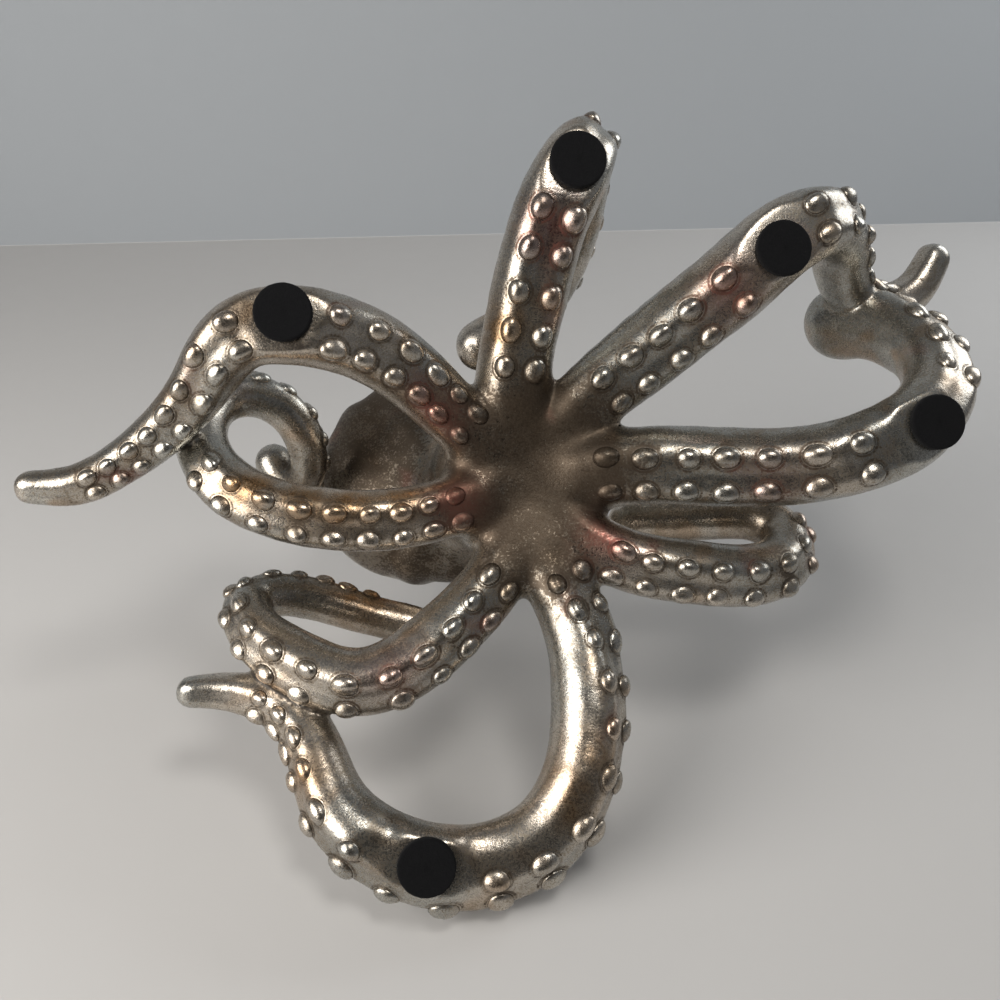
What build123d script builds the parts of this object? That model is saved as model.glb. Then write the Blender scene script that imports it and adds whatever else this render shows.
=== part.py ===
from build123d import *
import math
import os

# Octopus figurine: a rigid casting with eight curling arms, standing on five glued felt pads.
# Millimetres, +Z up. The origin is on the resting surface, under the middle of the whole figure.

# Plan and height of the figure
plan_radius = 200.0  # circle about the hub that holds every arm
hub_x = 3.93  # place of the hub from the origin
hub_y = -9.13
hub_lift = 30.0  # from the pads' upper faces to the hub's underside
mantle_height = 112.0  # from the hub's underside to the top of the mantle

# Body
mantle_radius = 45.5
mantle_lean = 44.0  # how far the mantle's top stands off to the left of the hub
web_radius = 33.0  # from the hub's centre to the arms' seams, along each arm
eye_radius = 8.5
eye_height = 41.0  # above the hub's underside
eye_spread = 22.0
eye_forward = 3.0

# Arms
arm_radius = 14.0
root_sections = 4
arm_sections = 24
line_samples = 60
frame_steps = 12  # carried frames for each station
sucker_gap = 0.4  # least gap from a sucker to anything but its own arm
sucker_lift = 0.6  # least height of a sucker over the resting surface
sucker_radius = 3.6
sucker_pitch = 13.6
first_sucker = 27.0  # along the right arm from the hub's centre
sucker_growth_reach = 90.0  # distance along an arm over which its suckers grow
bare_tip = 20.0  # end of each arm without suckers
sucker_row_angle = 27.0  # either side of the arm's underside

# Felt pads
pad_diameter = 20.0
pad_thickness = 3.0
seat_margin = 0.6  # flat on the arm, beyond the pad's edge

# Shares of the sizes above, chosen by hand
settle_share = 0.65  # how high an arm's middle lies over its flat, in radii
sucker_sink_share = 0.3
thinnest_sucker_share = 0.34
root_sucker_share = 0.85  # suckers at the hub and past their growth, as shares of the usual
grown_sucker_share = 1.15
body_step_share = 0.06  # half the height between body sections
round_end_shares = [(0.5, 0.866), (0.8, 0.6), (0.94, 0.34)]

# Body sections: height, lean to the left, lean to the back, radius as a share of the mantle's
body_shares = [
    (0.00, 0.00, 0.00, 0.60),
    (0.09, 0.00, 0.00, 0.73),
    (0.20, 0.05, 0.00, 0.73),
    (0.32, 0.18, 0.00, 0.65),
    (0.42, 0.36, 0.00, 0.68),
    (0.53, 0.60, 0.00, 0.86),
    (0.64, 0.82, -0.05, 0.99),
    (0.75, 0.93, -0.05, 0.98),
    (0.86, 0.98, 0.00, 0.80),
    (0.94, 1.00, 0.00, 0.55),
    (0.99, 1.00, 0.00, 0.25),
]

# Arm routes from the hub outwards: right, back, lift, thickness, roll of the suckers.
# Right and back are shares of plan_radius, lift of hub_lift, thickness of arm_radius and
# roll of a quarter turn.
front_shares = [
    (0.00, -0.02, 1.12, 0.78, 0.0),
    (-0.030, -0.165, 0.88, 1.05, 0.0),
    (-0.020, -0.270, 0.68, 1.04, 0.0),
    (0.002, -0.385, 0.40, 1.02, 0.0),
    (0.030, -0.480, 0.15, 1.02, 0.0),
    (0.060, -0.545, 0.00, 1.02, 0.0),
    (0.085, -0.592, 0.20, 0.92, 0.0),
    (0.100, -0.610, 0.62, 0.81, 0.0),
    (0.107, -0.580, 1.10, 0.77, 0.0),
    (0.100, -0.505, 1.50, 0.75, 0.0),
    (0.066, -0.415, 1.80, 0.74, 0.0),
    (0.000, -0.335, 1.98, 0.76, 0.0),
    (-0.075, -0.285, 2.05, 0.78, 0.0),
]
front_right_shares = [
    (0.02, -0.02, 1.12, 0.75, 0.0),
    (0.112, -0.150, 0.90, 1.00, 0.15),
    (0.200, -0.225, 0.76, 1.06, 0.2),
    (0.300, -0.305, 0.48, 1.08, 0.2),
    (0.368, -0.362, 0.20, 1.08, 0.15),
    (0.427, -0.415, 0.00, 1.06, 0.1),
    (0.535, -0.478, 0.20, 0.96, 0.0),
    (0.618, -0.472, 0.85, 0.85, -0.1),
    (0.668, -0.410, 1.45, 0.76, -0.2),
    (0.745, -0.376, 1.68, 0.68, -0.3),
    (0.822, -0.402, 1.66, 0.60, -0.3),
    (0.862, -0.470, 1.60, 0.48, -0.3),
]
right_shares = [
    (0.02, 0.00, 1.12, 0.80, 0.0),
    (0.135, -0.020, 0.86, 1.10, 0.15),
    (0.250, -0.026, 0.70, 1.10, 0.2),
    (0.365, -0.024, 0.56, 1.08, 0.2),
    (0.500, -0.026, 0.30, 1.06, 0.2),
    (0.600, -0.045, 0.08, 1.05, 0.15),
    (0.690, -0.086, 0.00, 1.04, 0.1),
    (0.762, -0.150, 0.24, 0.96, 0.0),
    (0.790, -0.230, 0.66, 0.95, 0.0),
    (0.768, -0.306, 1.20, 1.04, 0.0),
    (0.725, -0.345, 1.65, 1.14, 0.0),
    (0.700, -0.350, 1.88, 1.16, 0.0),
]
back_right_shares = [
    (0.01, 0.02, 1.12, 0.75, 0.0),
    (0.110, 0.115, 0.90, 0.86, 0.2),
    (0.190, 0.155, 0.80, 0.88, 0.3),
    (0.300, 0.175, 0.75, 0.88, 0.3),
    (0.400, 0.185, 0.82, 0.88, 0.3),
    (0.485, 0.172, 1.02, 0.86, 0.2),
    (0.532, 0.140, 1.35, 0.80, 0.1),
    (0.540, 0.098, 1.70, 0.75, 0.0),
    (0.500, 0.070, 1.92, 0.72, 0.0),
    (0.420, 0.060, 2.02, 0.70, 0.0),
    (0.330, 0.064, 2.07, 0.67, 0.0),
    (0.235, 0.070, 2.08, 0.62, 0.0),
]
back_shares = [
    (0.00, 0.02, 1.12, 0.75, 0.0),
    (0.030, 0.150, 0.90, 0.88, -0.1),
    (0.080, 0.255, 0.74, 0.95, -0.3),
    (0.100, 0.370, 0.48, 0.99, -0.6),
    (0.094, 0.475, 0.28, 1.00, -0.75),
    (0.062, 0.574, 0.12, 1.01, -0.8),
    (-0.010, 0.652, 0.04, 1.02, -0.75),
    (-0.100, 0.683, 0.00, 1.03, -0.7),
    (-0.198, 0.676, 0.00, 1.03, -0.65),
    (-0.288, 0.640, 0.10, 0.97, -0.65),
    (-0.365, 0.566, 0.38, 0.85, -0.65),
    (-0.406, 0.476, 0.76, 0.74, -0.6),
    (-0.474, 0.418, 1.08, 0.65, -0.5),
    (-0.560, 0.397, 1.22, 0.54, -0.4),
    (-0.625, 0.396, 1.25, 0.42, -0.4),
]
back_left_shares = [
    (-0.01, 0.02, 1.12, 0.75, 0.0),
    (-0.045, 0.155, 0.90, 0.86, 0.0),
    (-0.115, 0.245, 0.76, 0.90, -0.3),
    (-0.205, 0.325, 0.64, 0.91, -0.4),
    (-0.315, 0.372, 0.62, 0.90, -0.4),
    (-0.425, 0.342, 0.80, 0.84, -0.3),
    (-0.500, 0.300, 1.12, 0.76, -0.2),
    (-0.532, 0.262, 1.42, 0.70, -0.1),
    (-0.535, 0.232, 1.72, 0.66, 0.0),
    (-0.488, 0.222, 1.95, 0.63, 0.0),
    (-0.365, 0.247, 2.06, 0.62, 0.0),
    (-0.210, 0.290, 2.12, 0.60, 0.0),
]
left_shares = [
    (-0.02, 0.01, 1.12, 0.75, 0.0),
    (-0.120, 0.042, 0.90, 0.84, -0.1),
    (-0.205, 0.068, 0.82, 0.84, -0.2),
    (-0.315, 0.080, 0.74, 0.84, -0.2),
    (-0.425, 0.070, 0.74, 0.82, -0.2),
    (-0.535, 0.030, 0.86, 0.78, -0.2),
    (-0.605, -0.040, 1.14, 0.72, -0.1),
    (-0.618, -0.115, 1.50, 0.68, 0.0),
    (-0.580, -0.165, 1.80, 0.66, 0.0),
    (-0.515, -0.170, 2.02, 0.64, 0.0),
    (-0.460, -0.132, 2.18, 0.63, 0.0),
    (-0.434, -0.072, 2.40, 0.58, 0.0),
    (-0.438, -0.020, 2.66, 0.54, 0.0),
    (-0.480, -0.006, 2.92, 0.50, 0.0),
    (-0.516, -0.052, 3.10, 0.45, 0.0),
]
front_left_shares = [
    (-0.02, -0.02, 1.12, 0.75, 0.0),
    (-0.115, -0.092, 0.92, 0.86, 0.0),
    (-0.190, -0.162, 0.74, 0.91, 0.0),
    (-0.280, -0.225, 0.44, 0.96, 0.0),
    (-0.370, -0.254, 0.18, 1.00, 0.0),
    (-0.442, -0.258, 0.00, 1.00, 0.0),
    (-0.515, -0.245, 0.08, 0.92, 0.0),
    (-0.565, -0.202, 0.26, 0.84, 0.0),
    (-0.606, -0.148, 0.50, 0.74, -0.1),
    (-0.668, -0.084, 0.74, 0.66, -0.2),
    (-0.745, -0.026, 0.90, 0.59, -0.2),
    (-0.822, 0.014, 0.96, 0.56, -0.2),
    (-0.905, 0.020, 1.00, 0.43, -0.2),
]
arm_route_shares = {
    "front": front_shares,
    "front_right": front_right_shares,
    "right": right_shares,
    "back_right": back_right_shares,
    "back": back_shares,
    "back_left": back_left_shares,
    "left": left_shares,
    "front_left": front_left_shares,
}

# Where each arm's suckers start, in shares of first_sucker
first_sucker_shares = {
    "front": 1.51,
    "front_right": 1.52,
    "right": 1.0,
    "back_right": 1.55,
    "back": 1.43,
    "back_left": 1.44,
    "left": 1.0,
    "front_left": 1.02,
}

# Pads: the arm they are glued to, and their place to the right and back of the hub
pad_place_shares = {
    "front": (0.063, -0.549),
    "front_right": (0.433, -0.404),
    "right": (0.716, -0.097),
    "back": (-0.198, 0.663),
    "front_left": (-0.442, -0.269),
}

# Arms that meet outside the web: the second one is cut back to the first
meeting_arms = [
    ("back_right", "back"),
    ("back_left", "back"),
    ("back_left", "left"),
    ("front_left", "left"),
    ("front", "front_left"),
    ("right", "front_right"),
    ("front", "front_right"),
    ("right", "back_right"),
]


def hub_level():
    return pad_thickness + hub_lift


def arm_stations(route_shares):
    # Middle, radius and sucker roll of an arm at each point of its route.
    stations = []
    for right, back, lift, thickness, roll in route_shares:
        radius = arm_radius * thickness
        height = pad_thickness + settle_share * radius + hub_lift * lift
        middle = Vector(plan_radius * right, plan_radius * back, height)
        stations.append((middle, radius, 90.0 * roll))
    return stations


class ArmLine:
    # A smooth line through an arm's stations, with a frame carried along it.

    def __init__(self, route_shares):
        stations = arm_stations(route_shares)
        self.middles = [station[0] for station in stations]
        self.curve = Spline(*self.middles)
        steps = [(b - a).length for a, b in zip(self.middles, self.middles[1:])]
        total = sum(steps)
        self.marks = [sum(steps[:i]) / total for i in range(len(stations))]
        self.radii = [station[1] for station in stations]
        self.rolls = [station[2] for station in stations]
        self.length = self.curve.length
        self.frames = self.carry_frames()
        self.samples = [self.at(i / line_samples) for i in range(line_samples + 1)]

    def between(self, values, mark):
        for i in range(len(self.marks) - 1):
            if mark <= self.marks[i + 1]:
                part = (mark - self.marks[i]) / (self.marks[i + 1] - self.marks[i])
                ease = part * part * (3 - 2 * part)
                return values[i] + (values[i + 1] - values[i]) * ease
        return values[-1]

    def carry_frames(self):
        count = frame_steps * len(self.middles)
        under = Vector(0, 0, -1)
        frames = []
        for i in range(count + 1):
            along = self.curve.tangent_at(i / count)
            under = (under - along * under.dot(along)).normalized()
            frames.append(under)
        return frames

    def at(self, mark):
        mark = min(max(mark, 0.0), 1.0)
        along = self.curve.tangent_at(mark)
        under = self.frames[round(mark * (len(self.frames) - 1))]
        under = (under - along * under.dot(along)).normalized()
        return self.curve.position_at(mark), along, under, self.between(self.radii, mark)


def cross_section(middle, along, under, radius):
    return Plane(origin=middle, x_dir=under, z_dir=along) * Circle(radius)


def arm_root(line):
    # The arm from the hub's centre to its seam.
    seam = web_radius / line.length
    steps = root_sections - 1
    return loft([cross_section(*line.at(seam * i / steps)) for i in range(root_sections)])


def arm_tube(line):
    # The plain arm from its seam outwards, with a rounded tip.
    seam = web_radius / line.length
    steps = arm_sections - 1
    sections = [cross_section(*line.at(seam + (1 - seam) * i / steps)) for i in range(arm_sections)]
    middle, along, under, radius = line.at(1)
    for reach, share in round_end_shares:
        place = middle + along * (radius * reach)
        sections.append(cross_section(place, along, under, radius * share))
    return loft(sections)


def sucker_places(arm, line):
    # Two rows of suckers along the arm's underside, growing from the hub and smaller as the
    # arm thins: the distance along the arm, the middle and the radius of each.
    places = []
    place = first_sucker * first_sucker_shares[arm]
    while place < line.length - bare_tip:
        middle, along, under, radius = line.at(place / line.length)
        grown = min(place / sucker_growth_reach, 1)
        share = root_sucker_share + (grown_sucker_share - root_sucker_share) * grown
        share = share * max(radius / arm_radius, thinnest_sucker_share)
        roll = line.between(line.rolls, place / line.length)
        size = sucker_radius * math.sqrt(share)
        for side in (-1, 1):
            aim = under.rotate(Axis((0, 0, 0), along), roll + side * sucker_row_angle)
            spot = middle + aim * (radius - size * sucker_sink_share)
            spot.Z = max(spot.Z, size + sucker_lift)
            places.append((place, spot, size))
        place += sucker_pitch * share
    return places


def clear_of_body(place, size):
    # True where a sucker stands off the head and the mantle.
    for height, left, back, radius in body_shares:
        middle = Vector(-mantle_lean * left, mantle_lean * back, hub_level() + mantle_height * height)
        near = abs(place.Z - middle.Z) < mantle_height * body_step_share + size
        across = math.hypot(place.X - middle.X, place.Y - middle.Y)
        if near and across < mantle_radius * radius + size + sucker_gap:
            return False
    return True


def clear_of_arm(place, size, other):
    # True where a sucker stands off another arm.
    for middle, along, under, radius in other.samples:
        beside = math.hypot(middle.X, middle.Y) > web_radius
        if beside and (place - middle).length < radius + size + sucker_gap:
            return False
    return True


def clear_of_pad(arm, place, size):
    # True where a sucker stands off the pad glued to its arm.
    if arm not in pad_place_shares:
        return True
    right, back = pad_place(arm)
    return math.hypot(place.X - right, place.Y - back) > pad_diameter / 2 + size + sucker_gap


def suckers(arm, lines, on_root):
    # The domes on an arm's root, or those from its seam outwards.
    others = [line for name, line in lines.items() if name != arm]
    domes = []
    for along, place, size in sucker_places(arm, lines[arm]):
        if (along < web_radius) != on_root:
            continue
        free = on_root or clear_of_body(place, size)
        free = free and clear_of_pad(arm, place, size)
        if free and all(clear_of_arm(place, size, line) for line in others):
            domes.append(Pos(place) * Sphere(size))
    return domes


def pad_seat(place):
    # Flat boss that meets the pad's upper face.
    radius = pad_diameter / 2 + seat_margin
    height = settle_share * arm_radius
    return Pos(place[0], place[1], pad_thickness) * Cylinder(
        radius, height, align=(Align.CENTER, Align.CENTER, Align.MIN)
    )


def pad_place(arm):
    right, back = pad_place_shares[arm]
    return plan_radius * right, plan_radius * back


def below_flat():
    # Everything under the pads' upper faces, which the casting stays clear of.
    size = 2 * plan_radius
    return Box(size, size, size, align=(Align.CENTER, Align.CENTER, Align.MAX)).moved(
        Location((0, 0, pad_thickness))
    )


def mantle_and_head():
    sections = []
    for height, left, back, radius in body_shares:
        place = (-mantle_lean * left, mantle_lean * back, hub_level() + mantle_height * height)
        sections.append(Plane(origin=place) * Circle(mantle_radius * radius))
    return loft(sections)


def eyes():
    domes = []
    for side in (-1, 1):
        place = Vector(-eye_forward, side * eye_spread, hub_level() + eye_height)
        domes.append(Pos(place) * Sphere(eye_radius))
    return domes


def moved_to_frame(solid):
    return Pos(hub_x, hub_y, 0) * solid


def largest(shape):
    return max(shape.solids(), key=lambda solid: solid.volume)


def build_body(lines, head, roots):
    # The mantle and head, with the roots of the arms out to their seams.
    body = head + eyes() + list(roots.values())
    for arm in lines:
        body = body + suckers(arm, lines, on_root=True)
    return largest(body)


def build_arms(lines, head, roots):
    # The arms from their seams outwards, each cut back to what it meets, with its suckers.
    names = list(lines)
    arms = {}
    for i, arm in enumerate(names):
        beside = [roots[names[i - 1]], roots[names[(i + 1) % len(names)]]]
        arms[arm] = largest(arm_tube(lines[arm]) - [head] - beside)
    for kept, trimmed in meeting_arms:
        arms[trimmed] = largest(arms[trimmed] - arms[kept])
    for arm in names:
        if arm in pad_place_shares:
            arms[arm] = (arms[arm] + pad_seat(pad_place(arm))) - below_flat()
        arms[arm] = largest(arms[arm] + suckers(arm, lines, on_root=False))
    return arms


def build_pad(arm):
    right, back = pad_place(arm)
    return Pos(right, back, 0) * Cylinder(
        pad_diameter / 2, pad_thickness, align=(Align.CENTER, Align.CENTER, Align.MIN)
    )


def main():
    os.makedirs("parts", exist_ok=True)
    lines = {arm: ArmLine(route_shares) for arm, route_shares in arm_route_shares.items()}
    roots = {arm: arm_root(line) for arm, line in lines.items()}
    head = mantle_and_head()
    nodes = {"body": build_body(lines, head, roots)}
    for arm, solid in build_arms(lines, head, roots).items():
        nodes["arm_" + arm] = solid
    for arm in pad_place_shares:
        nodes["pad_" + arm] = build_pad(arm)
    for name, solid in nodes.items():
        export_step(moved_to_frame(solid), "parts/" + name + ".step")
        print(name, round(solid.volume, 1))


main()
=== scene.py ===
import math

import bpy
import numpy as np
from mathutils import Matrix, Vector
from mathutils.bvhtree import BVHTree
from mathutils.kdtree import KDTree


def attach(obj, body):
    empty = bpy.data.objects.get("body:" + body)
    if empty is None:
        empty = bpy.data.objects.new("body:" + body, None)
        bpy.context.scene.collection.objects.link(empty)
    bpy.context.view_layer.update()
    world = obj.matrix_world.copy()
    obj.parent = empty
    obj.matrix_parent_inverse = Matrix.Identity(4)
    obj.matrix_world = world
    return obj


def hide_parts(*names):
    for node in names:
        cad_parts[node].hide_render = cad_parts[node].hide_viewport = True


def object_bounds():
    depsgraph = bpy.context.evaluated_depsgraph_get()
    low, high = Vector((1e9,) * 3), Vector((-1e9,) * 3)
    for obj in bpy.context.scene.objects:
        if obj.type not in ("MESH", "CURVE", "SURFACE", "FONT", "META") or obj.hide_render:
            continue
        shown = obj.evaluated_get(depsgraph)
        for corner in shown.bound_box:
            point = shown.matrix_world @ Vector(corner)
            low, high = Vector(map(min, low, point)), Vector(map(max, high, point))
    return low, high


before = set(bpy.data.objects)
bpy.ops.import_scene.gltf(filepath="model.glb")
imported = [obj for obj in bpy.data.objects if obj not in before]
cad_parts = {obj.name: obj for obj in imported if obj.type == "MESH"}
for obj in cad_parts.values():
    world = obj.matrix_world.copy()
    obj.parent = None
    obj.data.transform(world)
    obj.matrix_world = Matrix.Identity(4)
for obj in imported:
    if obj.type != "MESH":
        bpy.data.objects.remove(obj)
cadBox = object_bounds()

rng = np.random.default_rng(11)

# Metres, in the CAD's frame: the figure stands on its pads, underside down
figure = {
    "planRadius": 0.200,  # places right and back are shares of it
    "hub": (0.00393, -0.00913),
    "hubLift": 0.030,
    "padThickness": 0.003,
    "settle": 0.65,  # height of an arm's middle over its flat, in radii
    "webRadius": 0.033,  # along each arm, from the hub to its seam
}
low = figure["padThickness"]
hub = np.array([*figure["hub"], low + figure["hubLift"]])


def onPlan(right, back):
    return hub[:2] + figure["planRadius"] * np.array([right, back])


def unit(v):
    return v / np.maximum(np.linalg.norm(v, axis=-1, keepdims=True), 1e-12)


def smooth(start, end, x):
    t = np.clip((x - start) / (end - start), 0.0, 1.0)
    return t * t * (3 - 2 * t)


def bell(x, height, middle, width):
    return height * np.exp(-(((x - middle) / width) ** 2))


def roundTurns(count, start=0.0):
    # Even angles, once round.
    return np.linspace(start, start + 2 * math.pi, count, endpoint=False)


def circle(middle, radius, first, second, turn):
    return middle + radius * (np.cos(turn)[:, None] * first + np.sin(turn)[:, None] * second)


def splineThrough(marks, values, at):
    # Natural cubic through the values at the marks.
    n = len(marks)
    h = np.diff(marks)
    a = np.zeros((n, n))
    b = np.zeros((n, values.shape[1]))
    a[0, 0] = a[-1, -1] = 1.0
    for i in range(1, n - 1):
        a[i, i - 1], a[i, i], a[i, i + 1] = h[i - 1], 2 * (h[i - 1] + h[i]), h[i]
        b[i] = 6 * ((values[i + 1] - values[i]) / h[i] - (values[i] - values[i - 1]) / h[i - 1])
    m = np.linalg.solve(a, b)
    i = np.clip(np.searchsorted(marks, at) - 1, 0, n - 2)
    x0, x1 = (marks[i + 1] - at)[:, None], (at - marks[i])[:, None]
    w = h[i][:, None]
    return (
        m[i] * x0**3 / (6 * w) + m[i + 1] * x1**3 / (6 * w)
        + (values[i] / w - m[i] * w / 6) * x0 + (values[i + 1] / w - m[i + 1] * w / 6) * x1
    )


arms = {
    "radius": 0.014,
    "sides": 56,
    "ringStep": 0.0016,
    "lineSteps": 1500,
    "blurRings": 9,  # over which thickness and roll even out
    "blurWidth": 4.0,
    "pressReach": (0.008, 0.016),  # from a pad's middle, where the pressed underside sets in
    # The section: how far out its flat underside is, in radii, and the forms on it, each with
    # its height in radii and its place and width in radians
    "flat": 0.88,
    "flatBlend": 0.03,
    "steepest": 0.05,
    "valley": (0.05, 0.0, 0.20),
    "lip": (0.012, 0.80, 0.13),
    "groove": (0.016, 1.08, 0.10),
    # The tip: reach past the end of the line, in radii, and share of the thickness
    "tip": [(0.30, 0.95), (0.55, 0.835), (0.75, 0.66), (0.88, 0.475), (0.96, 0.28), (1.0, 0.06)],
    # From the hub outwards: right, back, lift, thickness, roll of the underside in quarter turns
    "routes": {
        "arm_front": [
            (0.00, -0.02, 1.12, 0.78, 0.0), (-0.030, -0.165, 0.88, 1.05, 0.0),
            (-0.020, -0.270, 0.68, 1.04, 0.0), (0.002, -0.385, 0.40, 1.02, 0.0),
            (0.030, -0.480, 0.15, 1.02, 0.0), (0.060, -0.545, 0.00, 1.02, 0.0),
            (0.085, -0.592, 0.20, 0.92, 0.0), (0.100, -0.610, 0.62, 0.81, 0.0),
            (0.107, -0.580, 1.10, 0.77, 0.0), (0.100, -0.505, 1.50, 0.75, 0.0),
            (0.066, -0.415, 1.80, 0.74, 0.0), (0.000, -0.335, 1.98, 0.76, 0.0),
            (-0.075, -0.285, 2.05, 0.78, 0.0),
        ],
        "arm_front_right": [
            (0.02, -0.02, 1.12, 0.75, 0.0), (0.112, -0.150, 0.90, 1.00, 0.15),
            (0.200, -0.225, 0.76, 1.06, 0.2), (0.300, -0.305, 0.48, 1.08, 0.2),
            (0.368, -0.362, 0.20, 1.08, 0.15), (0.427, -0.415, 0.00, 1.06, 0.1),
            (0.535, -0.478, 0.20, 0.96, 0.0), (0.618, -0.472, 0.85, 0.85, -0.1),
            (0.668, -0.410, 1.45, 0.76, -0.2), (0.745, -0.376, 1.68, 0.68, -0.3),
            (0.822, -0.402, 1.66, 0.60, -0.3), (0.862, -0.470, 1.60, 0.48, -0.3),
        ],
        "arm_right": [
            (0.02, 0.00, 1.12, 0.80, 0.0), (0.135, -0.020, 0.86, 1.10, 0.15),
            (0.250, -0.026, 0.70, 1.10, 0.2), (0.365, -0.024, 0.56, 1.08, 0.2),
            (0.500, -0.026, 0.30, 1.06, 0.2), (0.600, -0.045, 0.08, 1.05, 0.15),
            (0.690, -0.086, 0.00, 1.04, 0.1), (0.762, -0.150, 0.24, 0.96, 0.0),
            (0.790, -0.230, 0.66, 0.95, 0.0), (0.768, -0.306, 1.20, 1.04, 0.0),
            (0.725, -0.345, 1.65, 1.14, 0.0), (0.700, -0.350, 1.88, 1.16, 0.0),
        ],
        "arm_back_right": [
            (0.01, 0.02, 1.12, 0.75, 0.0), (0.110, 0.115, 0.90, 0.86, 0.2),
            (0.190, 0.155, 0.80, 0.88, 0.3), (0.300, 0.175, 0.75, 0.88, 0.3),
            (0.400, 0.185, 0.82, 0.88, 0.3), (0.485, 0.172, 1.02, 0.86, 0.2),
            (0.532, 0.140, 1.35, 0.80, 0.1), (0.540, 0.098, 1.70, 0.75, 0.0),
            (0.500, 0.070, 1.92, 0.72, 0.0), (0.420, 0.064, 2.02, 0.74, 0.0),
            (0.330, 0.069, 2.07, 0.73, 0.0), (0.235, 0.075, 2.08, 0.70, 0.0),
        ],
        "arm_back": [
            (0.00, 0.02, 1.12, 0.75, 0.0), (0.030, 0.150, 0.90, 0.88, -0.1),
            (0.080, 0.255, 0.74, 0.95, -0.3), (0.100, 0.370, 0.48, 0.99, -0.6),
            (0.094, 0.475, 0.28, 1.00, -0.75), (0.062, 0.574, 0.12, 1.01, -0.8),
            (-0.010, 0.652, 0.04, 1.02, -0.75), (-0.100, 0.683, 0.00, 1.03, -0.7),
            (-0.198, 0.676, 0.00, 1.03, -0.65), (-0.288, 0.640, 0.10, 0.97, -0.65),
            (-0.365, 0.566, 0.38, 0.85, -0.65), (-0.406, 0.476, 0.76, 0.74, -0.6),
            (-0.474, 0.418, 1.08, 0.65, -0.5), (-0.560, 0.397, 1.22, 0.54, -0.4),
            (-0.625, 0.396, 1.25, 0.42, -0.4),
        ],
        "arm_back_left": [
            (-0.01, 0.02, 1.12, 0.75, 0.0), (-0.045, 0.155, 0.90, 0.86, 0.0),
            (-0.115, 0.245, 0.76, 0.90, -0.3), (-0.205, 0.325, 0.64, 0.91, -0.4),
            (-0.315, 0.372, 0.62, 0.90, -0.4), (-0.425, 0.342, 0.80, 0.84, -0.3),
            (-0.500, 0.300, 1.12, 0.76, -0.2), (-0.532, 0.262, 1.42, 0.70, -0.1),
            (-0.535, 0.232, 1.72, 0.66, 0.0), (-0.488, 0.222, 1.95, 0.63, 0.0),
            (-0.365, 0.247, 2.06, 0.62, 0.0), (-0.210, 0.290, 2.12, 0.60, 0.0),
        ],
        "arm_left": [
            (-0.02, 0.01, 1.12, 0.75, 0.0), (-0.120, 0.042, 0.90, 0.84, -0.1),
            (-0.205, 0.068, 0.82, 0.84, -0.2), (-0.315, 0.080, 0.74, 0.84, -0.2),
            (-0.425, 0.070, 0.74, 0.82, -0.2), (-0.535, 0.030, 0.86, 0.78, -0.2),
            (-0.605, -0.040, 1.14, 0.72, -0.1), (-0.618, -0.115, 1.50, 0.68, 0.0),
            (-0.580, -0.165, 1.80, 0.66, 0.0), (-0.515, -0.170, 2.02, 0.64, 0.0),
            (-0.460, -0.132, 2.18, 0.63, 0.0), (-0.434, -0.072, 2.40, 0.58, 0.0),
            (-0.438, -0.020, 2.66, 0.57, 0.0), (-0.480, -0.006, 2.92, 0.60, 0.0),
            (-0.512, -0.048, 3.06, 0.64, 0.0),
        ],
        "arm_front_left": [
            (-0.02, -0.02, 1.12, 0.75, 0.0), (-0.115, -0.092, 0.92, 0.86, 0.0),
            (-0.190, -0.162, 0.74, 0.91, 0.0), (-0.280, -0.225, 0.44, 0.96, 0.0),
            (-0.370, -0.254, 0.18, 1.00, 0.0), (-0.442, -0.258, 0.00, 1.00, 0.0),
            (-0.515, -0.245, 0.08, 0.92, 0.0), (-0.565, -0.202, 0.26, 0.84, 0.0),
            (-0.606, -0.148, 0.50, 0.74, -0.1), (-0.668, -0.084, 0.74, 0.66, -0.2),
            (-0.745, -0.026, 0.90, 0.59, -0.2), (-0.822, 0.014, 0.96, 0.56, -0.2),
            (-0.905, 0.020, 1.00, 0.43, -0.2),
        ],
    },
}


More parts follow.
